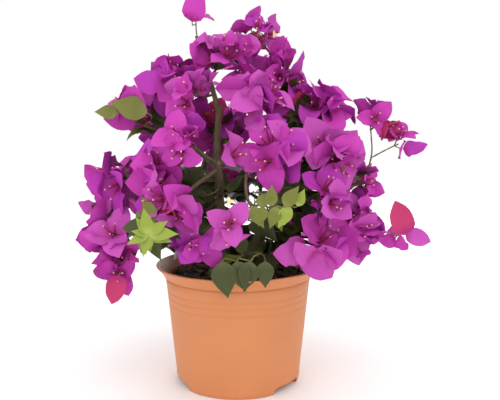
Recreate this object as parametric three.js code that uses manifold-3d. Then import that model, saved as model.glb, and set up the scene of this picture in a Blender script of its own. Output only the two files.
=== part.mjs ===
// A bougainvillea bush in a round terracotta-coloured pot.
// Millimetres, +Z up, the front of the plant towards -Y, the origin at the
// middle of the pot's underside.
import * as THREE from 'three';
import { mergeVertices } from 'three/addons/utils/BufferGeometryUtils.js';
import Module from 'manifold-3d';

const wasm = await Module();
wasm.setup();

// ---------------------------------------------------------------- sizes
const GAP = 0.3; // clear space kept between neighbouring pieces

const POT = {
  height: 126,
  rimRadius: 87.5,
  mouthRadius: 84.6,
  lipHeight: 12.3,
  lipRadius: 79.2,
  shoulderRadius: 77.6,
  baseRadius: 66,
  footHeight: 8,
  wall: 2.4,
  floor: 3,
  grooveHeights: [86.2, 93.7, 100.4],
  grooveDepth: 0.5,
  grooveHalfWidth: 0.9,
  sides: 40,
};

// Three arched recesses in the pot's foot, each with a drain hole above it.
const NOTCH = {
  bearings: [52.5, 172.5, -67.5],
  width: 42,
  height: 7.5,
  corner: 4.5,
  innerReach: 42,
  outerReach: 80,
  cover: 2.4,
  holeRadius: 5,
  holeReach: 52,
};

const SOIL = { height: 111, dome: 2.2, sides: 36 };

// Foliage masses: name, bearing from the front in degrees (to the right is
// positive), reach from the pot's axis, height, then half of the width,
// depth and height of the mass.
const MASSES = [
  ['crest_left', -104, 48, 377, 18, 20, 26],
  ['crest_right', 96, 20, 366, 22, 24, 21],
  ['top_middle', -33, 26, 340, 32, 30, 22],
  ['shoulder_right_high', 79, 44, 329, 26, 30, 31],
  ['shoulder_left_high', -80, 67, 315, 28, 30, 27],
  ['left_high', -94, 105, 285, 28, 32, 35],
  ['front_high_left', -32, 73, 294, 28, 27, 22],
  ['front_high_right', 16, 62, 292, 28, 29, 25],
  ['right_high', 86, 81, 286, 32, 32, 28],
  ['wing_inner', 92, 142, 277, 23, 24, 23],
  ['wing_tip', 90, 171, 256, 20, 22, 21],
  ['front_left', -31, 93, 256, 25, 27, 23],
  ['left_middle', -90, 121, 219, 28, 31, 30],
  ['front_left_middle', -56, 92, 227, 28, 31, 28],
  ['front_centre', -7, 99, 242, 27, 28, 23],
  ['front_right_middle', 22, 97, 244, 27, 29, 26],
  ['right_middle', 68, 102, 244, 32, 33, 32],
  ['left_far', -92, 147, 189, 22, 25, 22],
  ['left_low', -85, 131, 153, 33, 31, 24],
  ['left_trail', -86, 123, 121, 28, 25, 25],
  ['front_left_low', -32, 102, 200, 29, 29, 25],
  ['front_middle_low', -2, 106, 185, 23, 26, 22],
  ['front_left_skirt', -29, 84, 160, 24, 22, 15],
  ['lime_shoot', -38, 124, 178, 23, 25, 23],
  ['green_shoot', 23, 91, 200, 20, 23, 22],
  ['right_skirt', 56, 93, 153, 38, 31, 21],
  ['right_low', 84, 118, 162, 37, 37, 33],
  ['right_far', 90, 175, 162, 20, 21, 18],
  ['right_leaf', 92, 132, 214, 18, 21, 21],
  ['right_inner', 49, 106, 201, 26, 27, 26],
  ['pot_leaves', 7, 60, 147, 26, 24, 22],
  ['back_high_left', -137, 79, 310, 34, 30, 30],
  ['back_high_right', 160, 66, 320, 36, 30, 30],
  ['back_right_shoulder', 125, 100, 282, 34, 31, 31],
  ['back_left_shoulder', -123, 112, 258, 33, 31, 33],
  ['back_upper', -168, 100, 262, 38, 30, 33],
  ['back_right_middle', 153, 113, 236, 38, 31, 32],
  ['back_left_middle', -141, 125, 206, 35, 31, 30],
  ['back_right_outer', 118, 127, 222, 32, 31, 33],
  ['back_left_outer', -112, 134, 200, 28, 29, 29],
  ['back_middle', -173, 121, 208, 34, 27, 29],
  ['back_right_low', 136, 127, 178, 34, 30, 27],
];

const LUMP = 0.16; // how far a mass's skin swells and sinks, as a share of its size
const LARGE_MASS = 30.6; // masses with a mean half-size over this get a finer skin
const MASS_SEED = 41;

// Woody stems and boughs: radius at the foot and at the tip, the limb each one
// leaves and how far along it, other limbs it stands clear of, the mass it
// ends in, and its course as bearing, reach and height.
const LIMBS = [
  {
    name: 'stem',
    radii: [7.4, 4.4],
    flare: 0.35,
    course: [[110, 11, 109], [90, 17, 138], [72, 31, 168], [70, 47, 184], [71, 58, 202]],
  },
  {
    name: 'left_stem',
    radii: [5.6, 3.2],
    flare: 0.3,
    course: [[-115, 14, 109], [-115, 18, 150], [-100, 20, 200], [-90, 22, 248], [-84, 19, 293]],
  },
  {
    name: 'top_left_bough',
    radii: [2.9, 1.8],
    leaves: ['left_stem', 0.97],
    into: 'crest_left',
    course: [[-95, 31, 325], [-105, 45, 366]],
  },
  {
    name: 'top_right_bough',
    radii: [3.8, 2],
    leaves: ['stem', 0.97],
    into: 'shoulder_right_high',
    course: [[76, 56, 240], [84, 48, 285], [81, 50, 325]],
  },
  {
    name: 'right_high_bough',
    radii: [3, 1.8],
    leaves: ['stem', 0.9],
    clear: ['top_right_bough'],
    into: 'right_high',
    course: [[77, 74, 222], [86, 86, 255], [87, 88, 282]],
  },
  {
    name: 'right_bough',
    radii: [3.4, 2],
    leaves: ['stem', 0.8],
    clear: ['right_high_bough'],
    into: 'right_leaf',
    course: [[80, 84, 200], [90, 112, 206], [92, 134, 212]],
  },
  {
    name: 'wing_stalk',
    radii: [1.9, 1.4],
    through: 'right_leaf',
    into: 'wing_inner',
    course: [[92, 136, 216], [92, 143, 241], [92, 141, 272]],
  },
  {
    name: 'wing_side_stalk',
    radii: [1.6, 1.3],
    leaves: ['wing_stalk', 0.45],
    into: 'wing_tip',
    course: [[91, 158, 247], [90, 170, 253]],
  },
  {
    name: 'right_low_bough',
    radii: [3.2, 1.8],
    leaves: ['stem', 0.58],
    into: 'right_low',
    course: [[72, 60, 180], [78, 88, 176], [84, 116, 166]],
  },
  {
    name: 'left_high_bough',
    radii: [3, 1.8],
    leaves: ['left_stem', 0.62],
    into: 'left_high',
    course: [[-94, 50, 252], [-94, 102, 274]],
  },
  {
    name: 'left_bough',
    radii: [3.2, 1.8],
    leaves: ['left_stem', 0.34],
    into: 'left_middle',
    course: [[-94, 60, 203], [-90, 120, 220]],
  },
  {
    name: 'left_low_bough',
    radii: [3, 1.7],
    leaves: ['left_stem', 0.16],
    into: 'left_low',
    course: [[-90, 52, 163], [-86, 90, 166], [-85, 124, 158]],
  },
  {
    name: 'front_bough',
    radii: [2.9, 1.7],
    leaves: ['left_stem', 0.46],
    into: 'front_centre',
    course: [[-28, 34, 214], [-9, 96, 238]],
  },
  {
    name: 'back_right_bough',
    radii: [3, 1.8],
    leaves: ['stem', 0.42],
    into: 'back_right_middle',
    course: [[128, 52, 190], [152, 106, 234]],
  },
  {
    name: 'back_left_bough',
    radii: [3, 1.8],
    leaves: ['left_stem', 0.4],
    into: 'back_left_middle',
    course: [[-140, 60, 200], [-141, 118, 208]],
  },
];

const LIMB_SIDES = 6;
const LIMB_STEP = 19; // length of one straight run along a limb

// ---------------------------------------------------------------- finishes
const FINISH = {
  pot: { color: 0xdf8e5e, roughness: 0.55, metalness: 0 },
  soil: { color: 0x2e2822, roughness: 0.95, metalness: 0 },
  bark: { color: 0x6b5a44, roughness: 0.85, metalness: 0 },
  greenWood: { color: 0x7c7a3a, roughness: 0.7, metalness: 0 },
  bracts: { color: 0xb43c9c, roughness: 0.6, metalness: 0 },
  leaves: { color: 0x4a5a32, roughness: 0.5, metalness: 0 },
  youngLeaves: { color: 0x96a83c, roughness: 0.55, metalness: 0 },
};
const GREEN_MASSES = { pot_leaves: 'leaves', green_shoot: 'youngLeaves', lime_shoot: 'youngLeaves' };
const GREEN_LIMBS = ['wing_stalk', 'wing_side_stalk'];

// ---------------------------------------------------------------- helpers
function seeded(seed) {
  let state = seed >>> 0;
  return () => {
    state = (state + 0x6d2b79f5) >>> 0;
    let mixed = Math.imul(state ^ (state >>> 15), 1 | state);
    mixed = (mixed + Math.imul(mixed ^ (mixed >>> 7), 61 | mixed)) ^ mixed;
    return ((mixed ^ (mixed >>> 14)) >>> 0) / 4294967296;
  };
}

// A place given by its bearing from the front, reach from the axis and height.
function place([bearing, reach, height]) {
  const turn = THREE.MathUtils.degToRad(bearing);
  return new THREE.Vector3(reach * Math.sin(turn), -reach * Math.cos(turn), height);
}

function toSolid(geometry) {
  const bare = geometry.clone();
  bare.deleteAttribute('normal');
  bare.deleteAttribute('uv');
  const welded = mergeVertices(bare, 1e-4);
  return new wasm.Manifold(new wasm.Mesh({
    numProp: 3,
    vertProperties: new Float32Array(welded.attributes.position.array),
    triVerts: new Uint32Array(welded.index.array),
  }));
}

function toGeometry(solid) {
  const mesh = solid.getMesh();
  const geometry = new THREE.BufferGeometry();
  geometry.setAttribute('position', new THREE.BufferAttribute(mesh.vertProperties, 3));
  geometry.setIndex(new THREE.BufferAttribute(mesh.triVerts, 1));
  geometry.computeVertexNormals();
  return geometry;
}

// A solid of revolution round the +Z axis from [radius, height] pairs.
function turned(profile, sides) {
  const points = profile.map(([radius, height]) => new THREE.Vector2(radius, height));
  return new THREE.LatheGeometry(points, sides).rotateX(Math.PI / 2);
}

// ---------------------------------------------------------------- pot
function wallRadius(height) {
  const share = height / (POT.height - POT.lipHeight);
  return POT.baseRadius + (POT.shoulderRadius - POT.baseRadius) * share;
}

function potProfile() {
  const shoulder = POT.height - POT.lipHeight;
  const flare = POT.rimRadius - POT.lipRadius;
  const profile = [[0, 0], [POT.baseRadius - 0.8, 0], [POT.baseRadius, 0.8]];
  profile.push([wallRadius(POT.footHeight) + 0.5, POT.footHeight - 0.5]);
  profile.push([wallRadius(POT.footHeight), POT.footHeight]);
  for (const height of POT.grooveHeights) {
    profile.push([wallRadius(height - POT.grooveHalfWidth), height - POT.grooveHalfWidth]);
    profile.push([wallRadius(height) - POT.grooveDepth, height]);
    profile.push([wallRadius(height + POT.grooveHalfWidth), height + POT.grooveHalfWidth]);
  }
  profile.push([POT.shoulderRadius, shoulder]);
  profile.push([POT.lipRadius, shoulder + 0.5]);
  profile.push([POT.lipRadius + 0.25 * flare, shoulder + 4]);
  profile.push([POT.lipRadius + 0.62 * flare, shoulder + 8]);
  profile.push([POT.rimRadius - 0.5, POT.height - 1.6]);
  profile.push([POT.rimRadius, POT.height - 0.8]);
  profile.push([POT.rimRadius - 0.7, POT.height]);
  profile.push([POT.mouthRadius + 0.6, POT.height]);
  profile.push([POT.mouthRadius, POT.height - 0.8]);
  profile.push([POT.mouthRadius - 4, POT.height - 5]);
  profile.push([POT.shoulderRadius - POT.wall, shoulder - 3]);
  profile.push([POT.baseRadius - POT.wall, POT.floor + 1]);
  profile.push([POT.baseRadius - POT.wall - 1, POT.floor]);
  profile.push([0, POT.floor]);
  return profile;
}

// The arched outline of a foot recess, grown by `grow`, pushed out along a
// bearing from one reach to another.
function archway(bearing, grow, from, to) {
  const half = NOTCH.width / 2 + grow;
  const top = NOTCH.height + grow;
  const corner = NOTCH.corner + grow;
  const outline = new THREE.Shape();
  outline.moveTo(-half, -2);
  outline.lineTo(half, -2);
  outline.lineTo(half, top - corner);
  outline.quadraticCurveTo(half, top, half - 1.6 * corner, top);
  outline.lineTo(1.6 * corner - half, top);
  outline.quadraticCurveTo(-half, top, -half, top - corner);
  outline.closePath();
  const options = { depth: to - from, bevelEnabled: false, curveSegments: 4 };
  return new THREE.ExtrudeGeometry(outline, options)
    .translate(0, 0, from)
    .rotateX(Math.PI / 2)
    .rotateZ(THREE.MathUtils.degToRad(bearing));
}

function potSolid() {
  let pot = toSolid(turned(potProfile(), POT.sides));
  const inside = toSolid(turned([
    [0, 0.5],
    [POT.baseRadius - 1, 0.5],
    [wallRadius(40) - 1, 40],
    [0, 40],
  ], POT.sides));
  for (const bearing of NOTCH.bearings) {
    const inner = NOTCH.innerReach - NOTCH.cover;
    const cover = toSolid(archway(bearing, NOTCH.cover, inner, NOTCH.outerReach));
    pot = pot.add(cover.intersect(inside));
  }
  for (const bearing of NOTCH.bearings) {
    pot = pot.subtract(toSolid(archway(bearing, 0, NOTCH.innerReach, NOTCH.outerReach)));
    const hole = new THREE.CylinderGeometry(NOTCH.holeRadius, NOTCH.holeRadius, 20, 12);
    const centre = place([bearing, NOTCH.holeReach, NOTCH.height]);
    hole.rotateX(Math.PI / 2).translate(centre.x, centre.y, centre.z);
    pot = pot.subtract(toSolid(hole));
  }
  return pot;
}

function soilSolid() {
  const reach = (height) => wallRadius(height) - POT.wall - GAP - 0.5;
  let soil = toSolid(turned([
    [0, POT.floor + GAP],
    [POT.baseRadius - POT.wall - 2, POT.floor + GAP],
    [reach(POT.floor + 6), POT.floor + 6],
    [reach(SOIL.height - 6), SOIL.height - 6],
    [reach(SOIL.height - 1) - 1.2, SOIL.height - 1],
    [50, SOIL.height + 0.4 * SOIL.dome],
    [26, SOIL.height + SOIL.dome],
    [0, SOIL.height + SOIL.dome],
  ], SOIL.sides));
  for (const bearing of NOTCH.bearings) {
    const grow = NOTCH.cover + GAP;
    soil = soil.subtract(toSolid(archway(bearing, grow, NOTCH.innerReach - grow, 90)));
  }
  return soil;
}

// ---------------------------------------------------------------- masses
function massGeometry([, bearing, reach, height, wide, deep, tall], index, grow) {
  const fine = (wide + deep + tall) / 3 > LARGE_MASS;
  const geometry = new THREE.IcosahedronGeometry(1, fine ? 2 : 1);
  const random = seeded(MASS_SEED + 17 * index);
  const waves = Array.from({ length: 5 }, () => ({
    along: new THREE.Vector3(random() - 0.5, random() - 0.5, random() - 0.5).normalize(),
    pace: 2 + 3 * random(),
    phase: 2 * Math.PI * random(),
  }));
  const centre = place([bearing, reach, height]);
  const position = geometry.attributes.position;
  const point = new THREE.Vector3();
  for (let i = 0; i < position.count; i += 1) {
    point.fromBufferAttribute(position, i).normalize();
    let swell = 0;
    for (const wave of waves) {
      swell += Math.sin(wave.pace * point.dot(wave.along) + wave.phase) / waves.length;
    }
    const size = 1 + 1.6 * LUMP * swell;
    position.setXYZ(
      i,
      centre.x + point.x * (wide * size + grow),
      centre.y + point.y * (deep * size + grow),
      centre.z + point.z * (tall * size + grow),
    );
  }
  return geometry;
}

// How far a mass reaches from its centre along a unit direction.
function extent([, , , , wide, deep, tall], along) {
  return Math.hypot(wide * along.x, deep * along.y, tall * along.z);
}

// A block that fills everything beyond a plane.
function beyond(point, along) {
  const size = 400;
  const block = new THREE.BoxGeometry(size, size, size).translate(0, 0, size / 2);
  const turn = new THREE.Quaternion().setFromUnitVectors(new THREE.Vector3(0, 0, 1), along);
  return toSolid(block.applyQuaternion(turn).translate(point.x, point.y, point.z));
}

// Cut two masses that meet by one flat face between them.
function part(solids, i, j) {
  const from = place(MASSES[i].slice(1, 4));
  const to = place(MASSES[j].slice(1, 4));
  const along = to.clone().sub(from);
  const distance = along.length();
  along.normalize();
  const first = extent(MASSES[i], along);
  const second = extent(MASSES[j], along);
  if ((1 + LUMP) * (first + second) < distance) {
    return;
  }
  const meet = from.clone().addScaledVector(along, distance * first / (first + second));
  const near = meet.clone().addScaledVector(along, -GAP / 2);
  const far = meet.clone().addScaledVector(along, GAP / 2);
  solids[i] = solids[i].subtract(beyond(near, along));
  solids[j] = solids[j].subtract(beyond(far, along.clone().negate()));
}

// ---------------------------------------------------------------- limbs
function limbNamed(wanted) {
  return LIMBS.find(({ name }) => name === wanted);
}

// The middle line of a limb, from inside the limb it leaves.
function limbCurve(limb) {
  const points = limb.course.map(place);
  if (limb.leaves) {
    const [parent, share] = limb.leaves;
    points.unshift(limbCurve(limbNamed(parent)).getPointAt(share));
  }
  return new THREE.CatmullRomCurve3(points, false, 'centripetal');
}

// A tapering round limb: a cylinder bent along its middle line.
function limbGeometry(limb, grow) {
  const curve = limbCurve(limb);
  const steps = Math.max(3, Math.round(curve.getLength() / LIMB_STEP));
  const frames = curve.computeFrenetFrames(steps, false);
  const geometry = new THREE.CylinderGeometry(1, 1, 1, LIMB_SIDES, steps);
  const position = geometry.attributes.position;
  for (let i = 0; i < position.count; i += 1) {
    const share = position.getY(i) + 0.5;
    const step = Math.round(share * steps);
    const flare = 1 + (limb.flare ?? 0) * Math.exp(-9 * share);
    const radius = flare * THREE.MathUtils.lerp(limb.radii[0], limb.radii[1], share) + grow;
    const point = curve.getPointAt(share)
      .addScaledVector(frames.binormals[step], position.getX(i) * radius)
      .addScaledVector(frames.normals[step], position.getZ(i) * radius);
    position.setXYZ(i, point.x, point.y, point.z);
  }
  return geometry;
}

// ---------------------------------------------------------------- assembly
const group = new THREE.Group();
group.name = 'bougainvillea_bush';

function addNode(name, solid, finish) {
  const material = new THREE.MeshStandardMaterial(FINISH[finish]);
  const mesh = new THREE.Mesh(toGeometry(solid), material);
  mesh.name = name;
  group.add(mesh);
}

const masses = MASSES.map((row, index) => toSolid(massGeometry(row, index, 0)));
for (let i = 0; i < MASSES.length; i += 1) {
  for (let j = i + 1; j < MASSES.length; j += 1) {
    part(masses, i, j);
  }
}

const massIndex = new Map(MASSES.map(([name], index) => [name, index]));
const limbs = new Map();
const soilTop = new THREE.Vector3(0, 0, SOIL.height + SOIL.dome + GAP);
const ground = beyond(soilTop, new THREE.Vector3(0, 0, -1));
for (const limb of LIMBS) {
  let solid = toSolid(limbGeometry(limb, 0)).subtract(ground);
  for (const other of [limb.leaves?.[0], ...(limb.clear ?? [])].filter(Boolean)) {
    solid = solid.subtract(toSolid(limbGeometry(limbNamed(other), GAP)));
  }
  for (const end of [limb.into, limb.through].filter(Boolean)) {
    const index = massIndex.get(end);
    solid = solid.subtract(toSolid(massGeometry(MASSES[index], index, GAP)));
  }
  limbs.set(limb.name, solid);
}

for (const limb of LIMBS) {
  const grown = toSolid(limbGeometry(limb, GAP));
  MASSES.forEach(([name], index) => {
    if (name !== limb.into && name !== limb.through) {
      masses[index] = masses[index].subtract(grown);
    }
  });
}

addNode('pot', potSolid(), 'pot');
addNode('soil', soilSolid(), 'soil');
for (const [name, solid] of limbs) {
  addNode(name, solid, GREEN_LIMBS.includes(name) ? 'greenWood' : 'bark');
}
MASSES.forEach(([name], index) => {
  addNode(name, masses[index], GREEN_MASSES[name] ?? 'bracts');
});

export default group;
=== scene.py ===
"""A bougainvillea bush in full bloom, in a round terracotta-coloured pot."""

import math
from functools import lru_cache

import bmesh
import bpy
import numpy as np
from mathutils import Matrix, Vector, noise


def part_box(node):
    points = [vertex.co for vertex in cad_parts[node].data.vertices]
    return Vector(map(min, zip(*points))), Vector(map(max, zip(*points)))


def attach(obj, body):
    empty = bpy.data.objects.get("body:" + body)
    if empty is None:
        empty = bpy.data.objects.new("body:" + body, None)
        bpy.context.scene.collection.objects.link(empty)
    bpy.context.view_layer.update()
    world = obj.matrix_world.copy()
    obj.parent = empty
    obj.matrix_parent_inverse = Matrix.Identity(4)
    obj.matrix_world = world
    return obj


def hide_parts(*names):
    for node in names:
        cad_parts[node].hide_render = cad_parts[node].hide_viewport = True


bl_info = {
    "name": "Bougainvillea Bush",
    "version": (1, 0, 0),
    "blender": (4, 5, 0),
    "location": "3D View > Sidebar > Bougainvillea",
    "description": "Builds a potted bougainvillea bush round its packed frame",
    "category": "Add Mesh",
}

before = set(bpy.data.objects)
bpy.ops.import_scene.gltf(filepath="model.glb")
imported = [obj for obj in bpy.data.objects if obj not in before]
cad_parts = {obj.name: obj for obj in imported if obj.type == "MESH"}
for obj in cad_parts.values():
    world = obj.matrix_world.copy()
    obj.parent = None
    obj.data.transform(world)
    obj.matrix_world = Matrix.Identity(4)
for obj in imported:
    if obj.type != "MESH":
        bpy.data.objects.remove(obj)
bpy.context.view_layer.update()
MM = 0.001


def shade(red, green, blue):
    """Linear colour from the 0 to 255 numbers of a colour chart."""
    return tuple(
        part / 12.92 if part <= 0.04045 else ((part + 0.055) / 1.055) ** 2.4
        for part in (red / 255, green / 255, blue / 255)
    )


# ------------------------------------------------------------------ the plant's parts

# Stems and boughs: radius at the foot and the tip, the limb each one leaves
# and how far along it, and its course as bearing from the front in degrees,
# reach from the pot's axis and height, both in millimetres.
LIMBS = {
    "stem": ((7.4, 4.4), None, ((110, 11, 109), (90, 17, 138), (72, 31, 168), (70, 47, 184), (71, 58, 202))),
    "left_stem": ((5.6, 3.2), None,
                  ((-115, 14, 109), (-115, 18, 150), (-100, 20, 200), (-90, 22, 248), (-84, 19, 293))),
    "top_left_bough": ((2.9, 1.8), ("left_stem", 0.97), ((-95, 31, 325), (-105, 45, 366))),
    "top_right_bough": ((3.8, 2.0), ("stem", 0.97), ((76, 56, 240), (84, 48, 285), (81, 50, 325))),
    "right_high_bough": ((3.0, 1.8), ("stem", 0.9), ((77, 74, 222), (86, 86, 255), (87, 88, 282))),
    "right_bough": ((3.4, 2.0), ("stem", 0.8), ((80, 84, 200), (90, 112, 206), (92, 134, 212))),
    "wing_stalk": ((1.9, 1.4), ("right_bough", 0.99), ((92, 143, 241), (92, 141, 272))),
    "wing_side_stalk": ((1.6, 1.3), ("wing_stalk", 0.45), ((91, 158, 247), (90, 170, 253))),
    "right_low_bough": ((3.2, 1.8), ("stem", 0.58), ((72, 60, 180), (78, 88, 176), (84, 116, 166))),
    "left_high_bough": ((3.0, 1.8), ("left_stem", 0.62), ((-94, 50, 252), (-94, 102, 274))),
    "left_bough": ((3.2, 1.8), ("left_stem", 0.34), ((-94, 60, 203), (-90, 120, 220))),
    "left_low_bough": ((3.0, 1.7), ("left_stem", 0.16), ((-90, 52, 163), (-86, 90, 166), (-85, 124, 158))),
    "front_bough": ((2.9, 1.7), ("left_stem", 0.46), ((-28, 34, 214), (-9, 96, 238))),
    "back_right_bough": ((3.0, 1.8), ("stem", 0.42), ((128, 52, 190), (152, 106, 234))),
    "back_left_bough": ((3.0, 1.8), ("left_stem", 0.4), ((-140, 60, 200), (-141, 118, 208))),
}
GREEN_LIMBS = ("wing_stalk", "wing_side_stalk")
LEAFLESS = ("wing_inner", "wing_tip", "right_far", "crest_left", "crest_right")
# Masses with their flowers further apart than the rest, as a share.
SPARSE = {"right_far": 0.35, "left_high": 0.7, "crest_left": 0.8}
LEAF_MASSES = ("pot_leaves", "green_shoot", "lime_shoot")
MASSES = [name for name in sorted(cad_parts) if name not in LIMBS and name not in ("pot", "soil")]
CROWN_HEART = Vector((0.0, 0.0, 0.19))

POT_WALL = (0.072, 0.092, 0.130)  # blades keep out of the pot: reach from, reach to, height to

# Pairs of masses with a gap of sky between them, and half the gap's width in millimetres.
SKY_GAPS = (
    ("crest_left", "shoulder_left_high", 4),
    ("left_high", "left_middle", 5),
    ("wing_inner", "right_leaf", 6),
    ("front_middle_low", "green_shoot", 3),
)
BARE_HALF = 0.006  # half the width of the view kept to the bare upper stem

CLOCK = 12  # hours in a full turn
WAYS = {"up": 12, "right": 3, "down": 6, "left": 9}  # ways a blade points, as hours on a clock
SWAY = 0.7  # hours by which a single blade may stray from its way
LONE_BLADE = 30  # usual length of a single blade, in millimetres
LONE_WIDTH = 0.7  # its width as a share of its length
# Single blades that stand out at the front: kind, mass, way and how many.
SINGLE_BLADES = (
    ("magenta", "crest_left", "up", 1),
    ("bright", "right_far", "right", 1),
    ("young", "right_far", "up", 1),
    ("middle", "left_high", "left", 2),
    ("dark", "pot_leaves", "down", 4),
    ("young", "left_trail", "down", 1),
)
FOOT_DEPTH = -0.9  # how far forward single blades and flowers start in their mass
TIP_FORWARD = 0.2  # how far their tips lean to the front
ROSETTE_LEAVES = 9  # leaves round the tip of the lime shoot
SHOOT_LEAVES = 8  # leaves along the green shoot

# Masses with one open flower, and with one pale star, that faces the front.
FACING_FLOWERS = ("front_middle_low", "front_left_skirt", "wing_inner", "left_trail")
FACING_STARS = ("front_middle_low", "front_left_skirt")
FACING_SIZE = 0.75  # size of those flowers, as a share of the usual
TUBE_LENGTH = 0.0165  # length of a flower's tube
BEND_STEPS = 32  # short straight steps that a blade's midrib is bent in
SINK = 0.66  # how far inside their mass flowers start, as a share of a bract's length
WAYS_TRIED = 90  # ways out of each mass that a flower may grow
FLOWER_KINDS = {"open": 0.86, "half": 0.1, "bud": 0.04}  # share of the flowers of each kind
MASS_LEAF_KINDS = {"dark": 0.7, "middle": 0.26, "lime": 0.04}  # the same of leaves among flowers
INNER_LEAF_KINDS = {"dark": 0.85, "middle": 0.15}  # and of leaves along the boughs
TINT_SHARES = (0.45, 0.3, 0.25)  # share of flowers that are magenta, bright and violet
LOW_REACH = (0.018, 0.080)  # the low leaves' reach from the pot's axis, from and to
LOW_HEIGHT = (0.136, 0.225)  # and their height
INNER_FROM = 0.16  # height over which leaves grow along the boughs
TWIGS_FROM = 0.125  # height over which twigs leave a limb
TWIG_STEP = 0.008  # length of one step of a twig


# ------------------------------------------------------------------ settings

def metres(name, description, default, **limits):
    """A setting that is a length in metres."""
    return bpy.props.FloatProperty(name=name, description=description, default=default,
                                   unit="LENGTH", subtype="DISTANCE", **limits)


def coloured(name, description, default):
    """A setting that is a colour."""
    return bpy.props.FloatVectorProperty(name=name, description=description, default=default,
                                         size=3, subtype="COLOR", min=0, max=1)


class PotSettings(bpy.types.PropertyGroup):
    rim_radius: metres("Rim radius", "Outside radius of the lip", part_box("pot")[1][0], min=0.03)
    height: metres("Height", "Height of the pot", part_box("pot")[1][2], min=0.03)
    shoulder_radius: metres("Shoulder radius", "Outside radius of the wall under the lip", 0.0776)
    base_radius: metres("Base radius", "Outside radius of the wall at the foot", 0.066)
    lip_height: metres("Lip height", "Height of the flared lip", 0.0123)
    colour: coloured("Colour", "Colour of the pot's plastic", shade(208, 131, 80))


class BractSettings(bpy.types.PropertyGroup):
    length: metres("Bract length", "Usual length of a grown bract", 0.031)
    width: bpy.props.FloatProperty(
        name="Bract width", description="Width as a share of the length", default=0.92,
        min=0.3, max=1.5, subtype="FACTOR")
    spacing: metres("Flower spacing", "Least distance between flowers", 0.0100)
    overhang: metres("Overhang", "How far bracts may stand out from their mass", 0.012)
    seed: bpy.props.IntProperty(name="Seed", description="Seed of the crown's growth", default=7)
    magenta: coloured("Magenta", "Usual colour of a grown bract", shade(204, 70, 182))
    bright: coloured("Bright", "Lighter colour of a fully open bract", shade(200, 84, 182))
    violet: coloured("Violet", "Cooler colour of an older bract", shade(188, 61, 180))
    young: coloured("Young", "Colour of a young bract", shade(196, 62, 112))


class LeafSettings(bpy.types.PropertyGroup):
    length: metres("Leaf length", "Usual length of a grown leaf", 0.031)
    inner_count: bpy.props.IntProperty(
        name="Inner leaves", description="Number of leaves along the boughs", default=460, min=0)
    low_count: bpy.props.IntProperty(
        name="Low leaves", description="Number of leaves round the foot of the stems", default=300, min=0)
    dark: coloured("Dark", "Colour of a grown leaf", shade(64, 70, 30))
    middle: coloured("Middle", "Colour of a half-grown leaf", shade(114, 118, 46))
    lime: coloured("Lime", "Colour of a new leaf", shade(142, 160, 58))


class WoodSettings(bpy.types.PropertyGroup):
    twig_radius: metres("Twig radius", "Radius of a twig at its tip", 0.00055)
    bark: coloured("Bark", "Colour of the woody stems", shade(96, 80, 58))
    green: coloured("Green wood", "Colour of young shoots", shade(122, 118, 56))
    soil: coloured("Soil", "Colour of the compost", shade(38, 30, 24))


class StageSettings(bpy.types.PropertyGroup):
    distance: metres("Camera distance", "Distance from the camera to the pot's axis", 0.650)
    aside: metres("Camera aside", "How far the camera stands to the right", 0.013)
    eye_height: metres("Camera height", "Height of the camera over the floor", 0.2646)
    pitch: bpy.props.FloatProperty(
        name="Camera pitch", description="How far the camera looks down", default=math.radians(6.25),
        unit="ROTATION", subtype="ANGLE")
    lens: bpy.props.FloatProperty(
        name="Lens", description="Focal length on a 36 mm wide sensor", default=44.06)


class BushSettings(bpy.types.PropertyGroup):
    pot: bpy.props.PointerProperty(type=PotSettings)
    bracts: bpy.props.PointerProperty(type=BractSettings)
    leaves: bpy.props.PointerProperty(type=LeafSettings)
    wood: bpy.props.PointerProperty(type=WoodSettings)
    stage: bpy.props.PointerProperty(type=StageSettings)


# ------------------------------------------------------------------ small tools

def unit(vectors):
    """Vectors of length one."""
    vectors = np.asarray(vectors, float)
    return vectors / np.maximum(np.linalg.norm(vectors, axis=-1, keepdims=True), 1e-12)


def place(bearing, reach, height):
    """The point at a bearing, reach and height, in metres."""
    turn = math.radians(bearing)
    return Vector((reach * math.sin(turn), -reach * math.cos(turn), height)) * MM


def across(headings, hints):
    """Two unit vectors across each heading, the second as near its hint as can be."""
    side = unit(np.cross(headings, hints))
    return side, unit(np.cross(side, headings))


def pick(rng, shares):
    """A kind drawn by its share."""
    return rng.choice(list(shares), p=list(shares.values()))


def upright(headings):
    """Two unit vectors across each heading, the second as near straight up as can be."""
    return across(headings, np.tile((0, 0, 1.0), (len(headings), 1)))


def add_piece(name, mesh, material, replaces=()):
    """Puts a finished mesh in the scene as a piece of the plant."""
    piece = bpy.data.objects.new(name, mesh)
    bpy.context.scene.collection.objects.link(piece)
    mesh.materials.clear()
    mesh.materials.append(material)
    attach(piece, "root")
    if replaces:
        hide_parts(*replaces)
    return piece


def mesh_from_bmesh(name, shape, smooth=True):
    """Turns a finished bmesh into a mesh and frees it."""
    for face in shape.faces:
        face.smooth = smooth
    mesh = bpy.data.meshes.new(name)
    shape.to_mesh(mesh)
    shape.free()
    return mesh


def mesh_from_arrays(name, points, corners, counts, smooth=True, uv=None):
    """A mesh from its points, its faces' corners in one row, and each face's number of corners."""
    mesh = bpy.data.meshes.new(name)
    mesh.vertices.add(len(points))
    mesh.vertices.foreach_set("co", points.astype(np.float32).ravel())
    mesh.loops.add(len(corners))
    mesh.loops.foreach_set("vertex_index", corners.astype(np.int32))
    mesh.polygons.add(len(counts))
    mesh.polygons.foreach_set("loop_start", (np.cumsum(counts) - counts).astype(np.int32))
    mesh.polygons.foreach_set("use_smooth", np.full(len(counts), smooth))
    if uv is not None:
        layer = mesh.uv_layers.new(name="OFBake")
        layer.uv.foreach_set("vector", uv.astype(np.float32).ravel())
    mesh.update()
    mesh.validate()
    return mesh


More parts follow.
